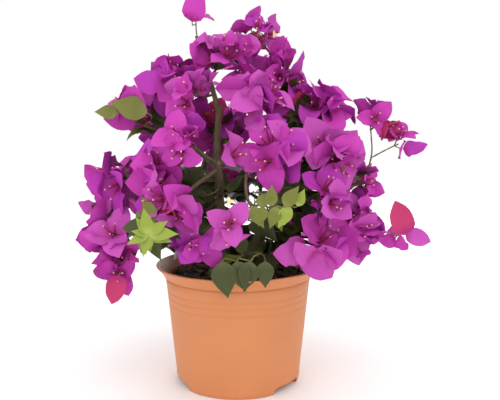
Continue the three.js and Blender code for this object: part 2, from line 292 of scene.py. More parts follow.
class Pattern:
    """The faces of one small shape, to be repeated many times in one mesh."""

    def __init__(self, shape):
        shape.verts.index_update()
        self.points = np.array([vertex.co[:] for vertex in shape.verts])
        self.corners = np.array([v.index for face in shape.faces for v in face.verts])
        self.counts = np.array([len(face.verts) for face in shape.faces])
        shape.free()

    def repeat(self, name, points, smooth=True, uv=None):
        """One mesh of a copy of the faces for each (copy, vertex, 3) block of points."""
        copies, per_copy = points.shape[:2]
        steps = np.arange(copies)[:, None] * per_copy
        corners = (self.corners[None] + steps).ravel()
        if uv is not None:
            uv = uv[np.tile(self.corners, copies)]
        counts = np.tile(self.counts, copies)
        return mesh_from_arrays(name, points.reshape(-1, 3), corners, counts, smooth, uv)


def stamped(pattern, origins, firsts, seconds, thirds, sizes):
    """Points of a pattern set down at each origin on three axes, at three sizes."""
    scaled = pattern.points[None] * sizes[:, None, :]
    axes = np.stack([firsts, seconds, thirds], axis=1)
    return origins[:, None, :] + np.einsum("nvk,nkc->nvc", scaled, axes)


# ------------------------------------------------------------------ finishes

def new_finish(name, colour, roughness):
    """A material with a Principled surface, and its node tree."""
    material = bpy.data.materials.new(name)
    material.use_nodes = True
    nodes = material.node_tree.nodes
    surface = nodes["Principled BSDF"]
    surface.inputs["Base Color"].default_value = (*colour, 1)
    surface.inputs["Roughness"].default_value = roughness
    return material, nodes, material.node_tree.links, surface


def maths(nodes, links, operation, *values):
    """A Math node on sockets or plain numbers."""
    node = nodes.new("ShaderNodeMath")
    node.operation = operation
    for slot, value in zip(node.inputs, values):
        if hasattr(value, "links"):
            links.new(value, slot)
        else:
            slot.default_value = value
    return node.outputs[0]


def blended(nodes, links, share, first, second):
    """A colour between two, by a share."""
    node = nodes.new("ShaderNodeMix")
    node.data_type = "RGBA"
    links.new(share, node.inputs["Factor"])
    for slot, value in ((node.inputs["A"], first), (node.inputs["B"], second)):
        if hasattr(value, "links"):
            links.new(value, slot)
        else:
            slot.default_value = (*value, 1)
    return node.outputs["Result"]


def speckle(nodes, links, scale, detail=3.0, stretch=(1, 1, 1)):
    """Noise in the piece's own space."""
    where = nodes.new("ShaderNodeTexCoord")
    turn = nodes.new("ShaderNodeMapping")
    turn.inputs["Scale"].default_value = stretch
    grain = nodes.new("ShaderNodeTexNoise")
    grain.inputs["Scale"].default_value = scale
    grain.inputs["Detail"].default_value = detail
    links.new(where.outputs["Object"], turn.inputs["Vector"])
    links.new(turn.outputs["Vector"], grain.inputs["Vector"])
    return grain.outputs["Fac"]


def relief(nodes, links, surface, height, depth, strength=1.0):
    """Fine relief on a surface from a height."""
    bump = nodes.new("ShaderNodeBump")
    bump.inputs["Strength"].default_value = strength
    bump.inputs["Distance"].default_value = depth
    links.new(height, bump.inputs["Height"])
    links.new(bump.outputs["Normal"], surface.inputs["Normal"])


CHART = 0.24  # side of the part of the map that every blade shares


def blade_finish(name, colour, vein, foot_vein_and_shade, roughness, vein_share, gloss):
    """A leaf or bract: side veins that leave a midrib, and another colour at its foot: the vein colour on a
    leaf, a painted shade on a bract.
    """
    material, nodes, links, surface = new_finish(name, colour, roughness)
    where = nodes.new("ShaderNodeUVMap")
    where.uv_map = "OFBake"
    parts = nodes.new("ShaderNodeSeparateXYZ")
    links.new(where.outputs["UV"], parts.inputs["Vector"])
    aside = maths(nodes, links, "ABSOLUTE", maths(
        nodes, links, "MULTIPLY_ADD", parts.outputs["X"], 2 / CHART, -1.0))
    along = maths(nodes, links, "DIVIDE", parts.outputs["Y"], CHART)
    lean = maths(nodes, links, "SUBTRACT", along, maths(nodes, links, "MULTIPLY", aside, 0.42))
    wave = maths(nodes, links, "SINE", maths(nodes, links, "MULTIPLY", lean, 2 * math.pi * 8))
    ribs = maths(nodes, links, "POWER", maths(nodes, links, "ABSOLUTE", wave), 9.0)
    midrib = maths(nodes, links, "SUBTRACT", 1.0, maths(nodes, links, "MULTIPLY", aside, 22.0))
    veins = maths(nodes, links, "MAXIMUM", ribs, maths(nodes, links, "MAXIMUM", midrib, 0.0))
    tinted = blended(nodes, links, maths(nodes, links, "MULTIPLY", veins, vein_share), colour, vein)
    # Towards its foot the blade blends into the foot colour; on a bract this is painted shade, a deeper
    # crimson where the three bracts of a flower meet.
    foot = maths(nodes, links, "SUBTRACT", 1.0, maths(nodes, links, "MULTIPLY", along, 3.2))
    foot = maths(nodes, links, "MULTIPLY", maths(nodes, links, "MAXIMUM", foot, 0.0), 0.8)
    links.new(blended(nodes, links, foot, tinted, foot_vein_and_shade), surface.inputs["Base Color"])
    relief(nodes, links, surface, veins, 0.0003, 0.4)
    surface.inputs["Specular IOR Level"].default_value = gloss
    return material


def bark_finish(name, colour, light, scale):
    """Wood with fine lengthways cracks and pale specks."""
    material, nodes, links, surface = new_finish(name, colour, 0.8)
    cracks = speckle(nodes, links, scale, 6.0, (1, 1, 0.25))
    links.new(blended(nodes, links, cracks, [part * 0.45 for part in colour], light),
              surface.inputs["Base Color"])
    relief(nodes, links, surface, cracks, 0.0006)
    return material


def pot_finish(colour):
    """Satin plastic with a faint mottle."""
    material, nodes, links, surface = new_finish("pot_plastic", colour, 0.5)
    mottle = speckle(nodes, links, 26.0, 4.0)
    links.new(blended(nodes, links, mottle, [part * 0.93 for part in colour],
                      [min(1.0, part * 1.06) for part in colour]), surface.inputs["Base Color"])
    fine = speckle(nodes, links, 900.0, 2.0)
    relief(nodes, links, surface, fine, 0.00012, 0.5)
    rough = maths(nodes, links, "MULTIPLY_ADD", mottle, 0.2, 0.4)
    links.new(rough, surface.inputs["Roughness"])
    return material


def crumb_finish(name, dark, light, scale, roughness=0.9):
    """Loose, uneven stuff between a dark and a light colour."""
    material, nodes, links, surface = new_finish(name, dark, roughness)
    grain = speckle(nodes, links, scale, 6.0)
    spread = maths(nodes, links, "MULTIPLY_ADD", grain, 2.4, -0.8)
    spread = maths(nodes, links, "MINIMUM", maths(nodes, links, "MAXIMUM", spread, 0.0), 1.0)
    links.new(blended(nodes, links, spread, dark, light), surface.inputs["Base Color"])
    relief(nodes, links, surface, grain, 0.001)
    return material


# ------------------------------------------------------------------ pot and soil

def turned(profile, steps):
    """A closed shape made by turning a profile of (radius, height) once round the Z axis."""
    shape = bmesh.new()
    line = [shape.verts.new((radius, 0, height)) for radius, height in profile]
    edges = [shape.edges.new(pair) for pair in zip(line, line[1:])]
    bmesh.ops.spin(shape, geom=line + edges, cent=(0, 0, 0), axis=(0, 0, 1), angle=math.tau,
                   steps=steps, use_merge=True, use_duplicate=False)
    bmesh.ops.remove_doubles(shape, verts=shape.verts, dist=1e-6)
    bmesh.ops.recalc_face_normals(shape, faces=shape.faces)
    return shape


def archway(bearing, width, height, inner, outer):
    """A solid arch that lies along a bearing and cuts a recess in the pot's foot."""
    shape = bmesh.new()
    half, corner = width / 2, 0.0045
    outline = [(-half, -0.004), (half, -0.004), (half, height - corner)]
    for step in range(1, 9):
        turn = step / 8 * math.pi / 2
        outline.append((half - 1.6 * corner * (1 - math.cos(turn)), height - corner * (1 - math.sin(turn))))
    outline += [(-x, z) for x, z in reversed(outline[2:])]
    face = shape.faces.new([shape.verts.new((x, -inner, z)) for x, z in outline])
    pushed = bmesh.ops.extrude_face_region(shape, geom=[face])["geom"]
    bmesh.ops.translate(shape, vec=(0, inner - outer, 0),
                        verts=[part for part in pushed if isinstance(part, bmesh.types.BMVert)])
    bmesh.ops.rotate(shape, verts=shape.verts, cent=(0, 0, 0),
                     matrix=Vector((0, -1, 0)).rotation_difference(place(bearing, 1000, 0)).to_matrix())
    bmesh.ops.recalc_face_normals(shape, faces=shape.faces)
    return shape


def cut_away(mesh, tools):
    """The mesh with each closed tool cut out of it."""
    body = bpy.data.objects.new("work", mesh)
    bpy.context.scene.collection.objects.link(body)
    helpers = []
    for tool in tools:
        helper = bpy.data.objects.new("tool", mesh_from_bmesh("tool", tool, False))
        bpy.context.scene.collection.objects.link(helper)
        helpers.append(helper)
        cut = body.modifiers.new("cut", "BOOLEAN")
        cut.operation, cut.solver, cut.object = "DIFFERENCE", "EXACT", helper
    graph = bpy.context.evaluated_depsgraph_get()
    result = bpy.data.meshes.new_from_object(body.evaluated_get(graph))
    for spare in [body, *helpers]:
        bpy.data.objects.remove(spare)
    return result


class BUSH_OT_pot(bpy.types.Operator):
    """Turn the pot, with its lip, rings and foot recesses"""
    bl_idname = "bush.pot"
    bl_label = "Pot"

    def execute(self, context):
        size = context.scene.bush.pot
        shoulder = size.height - size.lip_height
        wall, floor = 0.0024, 0.0105

        def radius(height):
            return size.base_radius + (size.shoulder_radius - size.base_radius) * height / shoulder

        profile = [(0, 0), (size.base_radius - 0.0012, 0), (size.base_radius - 0.0003, 0.0004),
                   (size.base_radius, 0.0012), (radius(0.0074) + 0.0004, 0.0074),
                   (radius(0.0080) + 0.0001, 0.0080), (radius(0.0086), 0.0086)]
        for ring in (0.0862, 0.0937, 0.1004):
            for step, depth in ((-1.4, 0), (-0.7, 0.25), (-0.25, 0.55), (0.25, 0.55), (0.7, 0.25), (1.4, 0)):
                profile.append((radius(ring + step * MM) - depth * MM, ring + step * MM))
        neck = size.shoulder_radius - 0.0011
        profile += [(size.shoulder_radius, shoulder - 0.0022),
                    (size.shoulder_radius - 0.0004, shoulder - 0.0016),
                    (neck, shoulder - 0.0008), (neck, shoulder)]
        lip = 0.0796
        flare = size.rim_radius - lip
        profile += [(lip - 0.0012, shoulder), (lip - 0.0003, shoulder + 0.0004), (lip, shoulder + 0.0013)]
        for share, rise in ((0.1, 2.6), (0.26, 4.6), (0.48, 6.8), (0.72, 8.8), (0.9, 10.2), (0.985, 11.1)):
            profile.append((lip + share * flare, shoulder + rise * MM))
        top = size.height
        profile += [(size.rim_radius, top - 0.0008), (size.rim_radius - 0.0003, top - 0.0003),
                    (size.rim_radius - 0.0011, top), (0.0852, top), (0.0846, top - 0.0005),
                    (0.0806, top - 0.005), (size.shoulder_radius - wall, shoulder - 0.003),
                    (radius(floor) - wall, floor), (0, floor)]
        pot = mesh_from_bmesh("pot", turned(profile, 160))
        tools = []
        for bearing in (52.5, 172.5, -67.5):
            tools.append(archway(bearing, 0.042, 0.0075, 0.042, 0.080))
            hole = bmesh.new()
            bmesh.ops.create_cone(hole, cap_ends=True, segments=24, radius1=0.005, radius2=0.005, depth=0.03)
            bmesh.ops.translate(hole, verts=hole.verts, vec=place(bearing, 52, 9))
            tools.append(hole)
        pot = cut_away(pot, tools)
        pot.name = "pot"
        piece = add_piece("nursery_pot", pot, pot_finish(size.colour), ["pot"])
        edges = piece.modifiers.new("crisp edges", "BEVEL")
        edges.width, edges.segments, edges.limit_method, edges.angle_limit = 0.0005, 2, "ANGLE", 0.9
        edges.harden_normals = True
        return {"FINISHED"}


class BUSH_OT_soil(bpy.types.Operator):
    """Fill the pot with compost, bark chips and perlite"""
    bl_idname = "bush.soil"
    bl_label = "Soil"

    def execute(self, context):
        wood = context.scene.bush.wood
        high = Vector(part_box("soil")[1])
        edge, top = high.x, high.z - 0.0022
        rings = [(edge * 0.999 * (1 - step / 34), top) for step in range(35)]
        shape = turned([(0, 0.011), (edge - 0.010, 0.011), (edge - 0.0006, top - 0.004), *rings], 120)
        for vertex in shape.verts:
            if vertex.co.z > top - 0.001:
                lumps = noise.fractal(vertex.co * 95, 0.9, 2.1, 4)
                fall = (vertex.co.xy.length / edge) ** 2
                vertex.co.z += 0.0022 * (1 - fall) + 0.0019 * lumps
        mesh = mesh_from_bmesh("soil", shape)
        add_piece("compost", mesh, crumb_finish("compost", [part * 0.35 for part in wood.soil],
                                                [part * 1.5 for part in wood.soil], 420.0), ["soil"])
        rng = np.random.default_rng(11)
        kinds = (
            ("compost_crumbs", 900, (0.0011, 0.0030), (1, 0.85, 0.7), wood.soil, 0.6),
            ("bark_chips", 300, (0.0026, 0.0084), (1, 0.5, 0.26), shade(110, 80, 58), 0.8),
            ("perlite", 120, (0.0007, 0.0017), (1, 0.9, 0.8), shade(206, 198, 182), 0.9),
        )
        for name, count, (small, large), stretch, colour, lift in kinds:
            shape = bmesh.new()
            bmesh.ops.create_icosphere(shape, subdivisions=1, radius=1.0)
            for vertex in shape.verts:
                vertex.co *= 0.75 + 0.5 * noise.random()
            pattern = Pattern(shape)
            reach = edge * 0.985 * np.sqrt(rng.random(count))
            turn = rng.random(count) * math.tau
            where = np.stack([reach * np.cos(turn), reach * np.sin(turn), np.full(count, top)], 1)
            size = small + (large - small) * rng.random(count) ** 2
            where[:, 2] += 0.0022 * (1 - (reach / edge) ** 2) + lift * size * 0.3
            heading = unit(rng.normal(size=(count, 3)) * (1, 1, 0.35))
            side, up = upright(heading)
            points = stamped(pattern, where, heading, side, up, size[:, None] * np.array(stretch))
            mesh = pattern.repeat(name, points, smooth=False)
            finish = crumb_finish(name, [part * 0.5 for part in colour],
                                  [min(1, part * 1.35) for part in colour], 260.0)
            add_piece(name, mesh, finish)
        return {"FINISHED"}


# ------------------------------------------------------------------ wood

@lru_cache(maxsize=None)
def limb_line(name):
    """Evenly spaced points along a limb's middle line."""
    _, leaves, course = LIMBS[name]
    knots = [place(*stop) for stop in course]
    if leaves:
        parent, share = leaves
        line = limb_line(parent)
        knots.insert(0, Vector(line[round(share * (len(line) - 1))]))
    knots = [2 * knots[0] - knots[1], *knots, 2 * knots[-1] - knots[-2]]
    points = []
    for before, start, end, after in zip(knots, knots[1:], knots[2:], knots[3:]):
        for step in range(24):
            t = step / 24
            points.append(0.5 * (2 * start + (end - before) * t
                                 + (2 * before - 5 * start + 4 * end - after) * t ** 2
                                 + (3 * start - before - 3 * end + after) * t ** 3))
    points = np.array([*points, knots[-2]])
    steps = np.concatenate([[0], np.cumsum(np.linalg.norm(np.diff(points, axis=0), axis=1))])
    spots = np.linspace(0, steps[-1], max(8, int(steps[-1] / 0.002)))
    return np.stack([np.interp(spots, steps, points[:, axis]) for axis in range(3)], 1)


def tube_points(line, radii, sides):
    """Rings of points round a line."""
    ahead = unit(np.gradient(line, axis=0))
    side = np.empty_like(ahead)
    side[0] = unit(np.cross(ahead[0], (0.31, 0.93, 0.17)))
    for i in range(1, len(line)):
        side[i] = unit(side[i - 1] - ahead[i] * np.dot(side[i - 1], ahead[i]))
    other = np.cross(ahead, side)
    turn = np.arange(sides) / sides * math.tau
    ring = np.cos(turn)[None, :, None] * side[:, None] + np.sin(turn)[None, :, None] * other[:, None]
    return line[:, None] + ring * np.asarray(radii)[:, None, None]


def tubes_mesh(name, tubes, sides):
    """One mesh of many tubes, closed at both ends, from (line, radii) pairs."""
    points, corners, counts, first = [], [], [], 0
    around = np.arange(sides)
    for line, radii in tubes:
        rings = tube_points(line, radii, sides)
        points.append(rings.reshape(-1, 3))
        start = (first + np.arange(len(line) - 1) * sides)[:, None]
        quad = np.stack([start + around, start + (around + 1) % sides,
                         start + sides + (around + 1) % sides, start + sides + around], -1)
        corners += [quad.ravel(), first + around[::-1], first + (len(line) - 1) * sides + around]
        counts += [np.full(quad.shape[0] * sides, 4), [sides], [sides]]
        first += len(line) * sides
    return mesh_from_arrays(name, np.concatenate(points), np.concatenate(corners), np.concatenate(counts))


class BUSH_OT_limbs(bpy.types.Operator):
    """Grow the stems and boughs, with the relief of their bark"""
    bl_idname = "bush.limbs"
    bl_label = "Stems and boughs"

    def execute(self, context):
        wood = context.scene.bush.wood
        bark = bark_finish("bark", wood.bark, shade(134, 118, 88), 260.0)
        green = bark_finish("green_wood", wood.green, shade(150, 146, 78), 200.0)
        for name, (ends, leaves, _) in LIMBS.items():
            line = limb_line(name)
            share = np.linspace(0, 1, len(line))
            radii = (ends[0] + (ends[1] - ends[0]) * share) * MM * (0.5 if name in GREEN_LIMBS else 1.0)
            if leaves is None:
                radii *= 1 + 0.4 * np.exp(-9 * share)
                line = line[line[:, 2] > 0.1]
                radii = radii[-len(line):]
            mesh = tubes_mesh(name, [(line, radii)], 14)
            for vertex in mesh.vertices:
                grain = Vector((vertex.co.x * 420, vertex.co.y * 420, vertex.co.z * 110))
                rough = noise.fractal(grain, 1.0, 2.0, 3)
                knots = max(0.0, noise.noise(vertex.co * 120) - 0.25)
                vertex.co += vertex.normal * (0.00032 * rough + 0.0012 * knots)
            finish, slot = (green, "green_wood") if name in GREEN_LIMBS else (bark, "bark")
            add_piece(name + "_wood", mesh, finish, [name])
        return {"FINISHED"}


# ------------------------------------------------------------------ the plan of the crown

@lru_cache(maxsize=None)
def mass_shape(name):
    """Centre and half-sizes of a mass, from its box in the frame."""
    low, high = np.array(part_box(name))
    return (low + high) / 2, (high - low) / 2


def in_mass(name, shares):
    """The point at these shares of a mass's half-sizes from its middle."""
    centre, half = mass_shape(name)
    return centre + np.array(shares) * half


def sphere_points(count, rng):
    """Evenly spread directions, turned at random."""
    step = np.arange(count) + 0.5
    height = 1 - 2 * step / count
    turn = math.pi * (1 + 5 ** 0.5) * step + rng.random() * math.tau
    ring = np.sqrt(1 - height ** 2)
    points = np.stack([ring * np.cos(turn), ring * np.sin(turn), height], 1)
    axes = np.linalg.qr(rng.normal(size=(3, 3)))[0]
    return unit(points @ axes + rng.normal(scale=0.16, size=(count, 3)))


def buried(points, own, margin):
    """Which points lie well inside a mass other than their own."""
    hidden = np.zeros(len(points), bool)
    for name in MASSES:
        if name != own:
            centre, half = mass_shape(name)
            hidden |= (((points - centre) / (half * margin)) ** 2).sum(1) < 1
    return hidden


@lru_cache(maxsize=None)
def special_blades():
    """Feet, headings, faces, lengths, widths and kinds of the single blades, the rosette and the shoot."""
    rng = np.random.default_rng(bpy.context.scene.bush.bracts.seed + 6)
    rows = []
    for kind, mass, way, count in SINGLE_BLADES:
        for blade in range(count):
            foot = in_mass(mass, ((2 * blade + 1) / count - 1, FOOT_DEPTH, 0))
            hour = WAYS[way] + rng.uniform(-SWAY, SWAY)
            rows.append((kind, foot, hour, LONE_BLADE * rng.uniform(0.8, 1.3), LONE_WIDTH))
    heart = in_mass("lime_shoot", (0, -1, 0))
    for leaf in range(ROSETTE_LEAVES):
        hour = CLOCK * (leaf + rng.uniform(-0.35, 0.35)) / ROSETTE_LEAVES
        rows.append(("lime", heart, hour, LONE_BLADE * rng.uniform(0.5, 0.9), 0.5))
    for leaf in range(SHOOT_LEAVES):
        share = leaf / (SHOOT_LEAVES - 1)
        foot = in_mass("green_shoot", (2 * share - 1, FOOT_DEPTH, 0))
        hour = (1 if leaf % 2 else 6) + rng.uniform(-1.2, 1.2)
        kind = "lime" if leaf >= SHOOT_LEAVES - 2 else "middle"
        rows.append((kind, foot, hour, LONE_BLADE * rng.uniform(0.5, 0.8), 0.6))
    kinds, feet, hours, lengths, widths = zip(*rows)
    turn = np.array(hours) * math.tau / CLOCK
    headings = unit(np.stack([np.sin(turn), np.full(len(rows), -TIP_FORWARD), np.cos(turn)], 1))
    faces = unit(np.array((0, -0.9, 0.35)) + rng.normal(scale=0.15, size=(len(rows), 3)))
    return np.array(feet), headings, faces, np.array(lengths) * MM, np.array(widths), np.array(kinds)


@lru_cache(maxsize=None)
def facing_flowers():
    """Starts, rolls and sizes of the flowers that face the front."""
    rng = np.random.default_rng(bpy.context.scene.bush.bracts.seed + 8)
    return [(in_mass(mass, (0, FOOT_DEPTH / 2, 0)), rng.uniform(0, math.tau), FACING_SIZE)
            for mass in FACING_FLOWERS]


def in_the_clear(points, overhang=None):
    """Which blades stay off the gaps of sky, the bare stem, the single blades and the pot's wall.

    With an overhang, they also stay within that distance of the masses.
    """
    clear = np.ones(len(points), bool)
    for one, other, half in SKY_GAPS:
        (start, size), (end, end_size) = mass_shape(one), mass_shape(other)
        gap = start + (end - start) * size.mean() / (size.mean() + end_size.mean())
        clear &= (np.hypot(points[..., 0] - gap[0], points[..., 2] - gap[2]) > half * MM).all(axis=1)
    stem = limb_line("left_stem")
    upper = stem[len(stem) // 2:]
    for spot in upper[~buried(upper, None, 1.0)]:
        near = np.hypot(points[..., 0] - spot[0], points[..., 2] - spot[2]) < BARE_HALF
        clear &= ~(near & (points[..., 1] < spot[1])).any(axis=1)
    feet, headings, _, lengths, _, _ = special_blades()
    for foot, heading, length in zip(feet, headings, lengths):
        middle = foot + heading * length / 2
        clear &= (np.linalg.norm(points - middle, axis=-1) > 0.3 * length).all(axis=1)
    reach = np.hypot(points[..., 0], points[..., 1])
    in_wall = (reach > POT_WALL[0]) & (reach < POT_WALL[1]) & (points[..., 2] < POT_WALL[2])
    clear &= ~in_wall.any(axis=1)
    if overhang is not None:
        held = np.zeros(points.shape[:-1], bool)
        for name in MASSES:
            centre, half = mass_shape(name)
            held |= (((points - centre) / (half + overhang)) ** 2).sum(-1) < 1
        clear &= held.all(axis=1)
    return clear


@lru_cache(maxsize=None)
def crown_plan():
    """Every seeded flower and leaf of the crown: start, way, size and kind, and a flower's roll."""
    settings = bpy.context.scene.bush
    rng = np.random.default_rng(settings.bracts.seed)
    flowers, leaves = [], []
    heart = np.array(CROWN_HEART)
    feet, headings, _, lengths, _, kinds = special_blades()
    grown = np.isin(kinds, ("magenta", "bright")) & (lengths > 0.02)
    taken = [*(feet + headings * lengths[:, None] / 2)[grown],
             *(start for start, _, _ in facing_flowers())]
    for name in MASSES:
        centre, half = mass_shape(name)
        outward = unit((centre - heart) * (1, 1, 0.8))
        leafy = name in LEAF_MASSES
        if not leafy:
            ways = sphere_points(WAYS_TRIED, rng)
            ways = ways[ways @ outward > -0.3]
            rng.shuffle(ways)
            starts = centre + ways * np.maximum(half - SINK * settings.bracts.length, half * 0.4)
            kept = ~buried(centre + ways * half * 0.9, name, 0.8)
            for start, way in zip(starts[kept], ways[kept]):
                turned_out = (0, 0.3 * np.sign(way[1]), 0.05)
                axis = unit(0.7 * way + 0.35 * outward + turned_out + rng.normal(scale=0.18, size=3))
                kind = pick(rng, FLOWER_KINDS)
                size = np.clip(rng.normal(1.0, 0.12), 0.75, 1.25)
                size = float(size * np.clip(half.mean() / 0.028, 0.7, 1.04))
                roll = rng.random() * math.tau
                apart = settings.bracts.spacing / SPARSE.get(name, 1.0)
                if np.linalg.norm(np.array(taken) - start, axis=1).min() > apart:
                    flowers.append((start, axis, size, kind, roll))
                    taken.append(start)
        for way in sphere_points(0 if name in LEAFLESS else 6 if leafy else 4, rng):
            start = centre + way * half * (0.1 if leafy else -0.15)
            axis = unit(way + 0.2 * outward + (0, 0, -0.2) + rng.normal(scale=0.25, size=3))
            if not (leafy or buried((start + settings.leaves.length * axis)[None], None, 0.85)[0]):
                continue
            kind = pick(rng, MASS_LEAF_KINDS)
            leaves.append((start, axis, float(np.clip(rng.normal(1.0, 0.15), 0.65, 1.3)), kind))
    for _ in range(settings.leaves.low_count):
        turn = rng.random() * math.tau
        reach = LOW_REACH[0] + (LOW_REACH[1] - LOW_REACH[0]) * math.sqrt(rng.random())
        start = np.array((reach * math.sin(turn), reach * math.cos(turn), rng.uniform(*LOW_HEIGHT)))
        axis = unit(rng.normal(size=3) * (1, 1, 0.7) + 0.8 * unit(start - heart))
        if start[1] > -0.025 - 0.03 * rng.random():
            leaves.append((start, axis, float(np.clip(rng.normal(0.95, 0.15), 0.65, 1.2)), "dark"))
    limb_points = np.concatenate([limb_line(name) for name in LIMBS if "wing" not in name])
    limb_points = limb_points[limb_points[:, 2] > INNER_FROM]
    for point in rng.choice(limb_points, settings.leaves.inner_count):
        axis = unit(rng.normal(size=3) + unit(point - heart))
        if not buried((point + 1.3 * settings.leaves.length * axis)[None], None, 0.9)[0]:
            continue
        leaves.append((point + 0.012 * axis, axis, float(np.clip(rng.normal(1.0, 0.15), 0.65, 1.3)),
                       pick(rng, INNER_LEAF_KINDS)))
    return flowers, leaves


@lru_cache(maxsize=None)
def flower_frames():
    """For each flower: start, axis, two vectors across it, size and kind."""
    flowers, _ = crown_plan()
    flowers = flowers + [(start, unit((0, -1.0, 0.1)), size, "special", roll)
                         for start, roll, size in facing_flowers()]
    starts, axes, sizes, kinds, rolls = (np.array(part) for part in zip(*flowers))
    side, other = across(axes, np.tile((0.12, 0.2, 1.0), (len(axes), 1)))
    roll = rolls[:, None]
    first = np.cos(roll) * side + np.sin(roll) * other
    second = np.cos(roll) * other - np.sin(roll) * side
    return starts, axes, first, second, sizes, kinds


# ------------------------------------------------------------------ blades

def blade_pattern(outline, columns, rows):
    """A flat blade: a grid drawn in to an outline of half-widths along its length."""
    shape = bmesh.new()
    bmesh.ops.create_grid(shape, x_segments=columns, y_segments=rows, size=0.5)
    spots, widths = zip(*outline)
    for vertex in shape.verts:
        along = 0.6 * (vertex.co.y + 0.5) + 0.2 * (1 - math.cos(math.pi * (vertex.co.y + 0.5)))
        vertex.co = (2 * vertex.co.x * np.interp(along, spots, widths), along, 0)
    bmesh.ops.remove_doubles(shape, verts=shape.verts, dist=1e-5)
    return Pattern(shape)


BRACT_OUTLINE = ((0, 0.0), (0.03, 0.38), (0.09, 0.7), (0.18, 0.92), (0.3, 1.0), (0.42, 0.99), (0.55, 0.93),
                 (0.68, 0.8), (0.8, 0.58), (0.9, 0.31), (0.96, 0.12), (1, 0))
LEAF_OUTLINE = ((0, 0.0), (0.05, 0.32), (0.14, 0.72), (0.28, 0.98), (0.4, 1.0), (0.55, 0.84),
                (0.7, 0.56), (0.84, 0.26), (0.94, 0.08), (1, 0))


def blade_chart(pattern):
    """The part of the map that every copy of a blade shares."""
    return np.stack([CHART / 2 * (1 + pattern.points[:, 0]), CHART * pattern.points[:, 1]], 1)


def blades(pattern, starts, headings, faces, length, width, bend, cup, fold, ruffle, rng):
    """Points of many blades, each bent along its midrib, twisted, cupped, folded and ruffled."""
    count = len(starts)
    side, face = across(headings, faces)
    aside, along = pattern.points[:, 0], pattern.points[:, 1]
    fine = np.linspace(0, 1, BEND_STEPS + 1)
    angle = bend[:, None] * fine ** 1.3
    between = (angle[:, 1:] + angle[:, :-1]) / 2
    foot = np.zeros((count, 1))
    forward = np.concatenate([foot, np.cumsum(np.cos(between), 1)], 1) / BEND_STEPS
    lifted = np.concatenate([foot, np.cumsum(np.sin(between), 1)], 1) / BEND_STEPS
    spot = along * BEND_STEPS
    low = np.minimum(spot.astype(int), BEND_STEPS - 1)
    part = spot - low
    ahead = (forward[:, low] * (1 - part) + forward[:, low + 1] * part) * length[:, None]
    rise = (lifted[:, low] * (1 - part) + lifted[:, low + 1] * part) * length[:, None]
    turn = bend[:, None] * along[None] ** 1.3
    half = (width * length / 2)[:, None]
    phase = rng.random((count, 3)) * math.tau
    waves = np.sin(along[None] * 11 + phase[:, :1] + np.sign(aside)[None] * phase[:, 1:2])
    waves += 0.6 * np.sin(along[None] * 19 + phase[:, 2:] - np.sign(aside)[None] * phase[:, :1])
    way, phase = rng.random((2, 3, count, 1)) * math.tau
    crumple = np.sin(4.5 * (np.cos(way) * aside + 1.6 * np.sin(way) * along) + phase).sum(0)
    up = half * (cup[:, None] * aside ** 2 + fold[:, None] * np.abs(aside)
                 + ruffle[:, None] * (waves * aside ** 2 + 0.6 * crumple * along * (1 - 0.5 * along)))
    out = half * aside[None] * (1 - 0.25 * np.abs(cup[:, None]) * aside ** 2)
    spin = rng.normal(scale=0.35, size=(count, 1)) * along
    up, out = up * np.cos(spin) + out * np.sin(spin), out * np.cos(spin) - up * np.sin(spin)
    along_part = ahead - np.sin(turn) * up
    up_part = rise + np.cos(turn) * up
    return (starts[:, None] + along_part[..., None] * headings[:, None]
            + out[..., None] * side[:, None] + up_part[..., None] * face[:, None])


@lru_cache(maxsize=None)
def bract_plan():
    """A bract's pattern, the points of each flower's three and which are kept, how many are, and tints."""
    settings = bpy.context.scene.bush.bracts
    rng = np.random.default_rng(settings.seed + 1)
    starts, axes, first, second, sizes, kinds = flower_frames()
    count = len(starts)
    tints = rng.choice(3, size=count, p=TINT_SHARES)
    unopened = (kinds == "bud") | (kinds == "half")
    tints[unopened] = rng.choice([0, 3], unopened.sum())
    pattern = blade_pattern(BRACT_OUTLINE, 6, 8)
    leans = {"open": 1.02, "half": 0.34, "bud": 0.16, "special": 1.05}
    bends = {"open": 0.36, "half": 0.30, "bud": -0.55, "special": 0.35}
    lengths = {"open": 1.0, "half": 0.82, "bud": 0.62, "special": 1.0}
    shut = kinds == "bud"
    petals = []
    for petal in range(3):
        turn = (petal * math.tau / 3 + rng.normal(scale=0.16, size=count))[:, None]
        away = np.cos(turn) * first + np.sin(turn) * second
        lean = (np.array([leans[kind] for kind in kinds]) + rng.normal(scale=0.14, size=count))[:, None]
        bend = -np.array([bends[kind] for kind in kinds]) + rng.normal(scale=0.32, size=count)
        length = settings.length * sizes * np.array([lengths[kind] for kind in kinds])
        points = blades(
            pattern, starts + 0.0012 * away, np.cos(lean) * axes + np.sin(lean) * away,
            np.sin(lean) * axes - np.cos(lean) * away, length * rng.normal(1.0, 0.07, size=count),
            settings.width * rng.normal(1.0, 0.07, size=count), bend,
            np.where(shut, 0.75, rng.normal(0.16, 0.12, size=count)),
            np.where(shut, 0.25, rng.normal(0.12, 0.08, size=count)),
            np.where(shut, 0.04, np.abs(rng.normal(0.17, 0.06, size=count))), rng)
        petals.append((points, in_the_clear(points, settings.overhang) | (kinds == "special")))
    left = sum(kept.astype(int) for _, kept in petals)
    return pattern, [(points, kept & (left > 1)) for points, kept in petals], left, tints


def special_points(pattern, kind, fold, cup, rng):
    """Points of the special blades of one kind."""
    feet, headings, faces, lengths, widths, kinds = special_blades()
    some = kinds == kind
    count = some.sum()
    return blades(pattern, feet[some], headings[some], faces[some], lengths[some], widths[some],
                  rng.normal(-0.25, 0.15, size=count), np.full(count, cup), np.full(count, fold),
                  np.full(count, 0.1), rng)


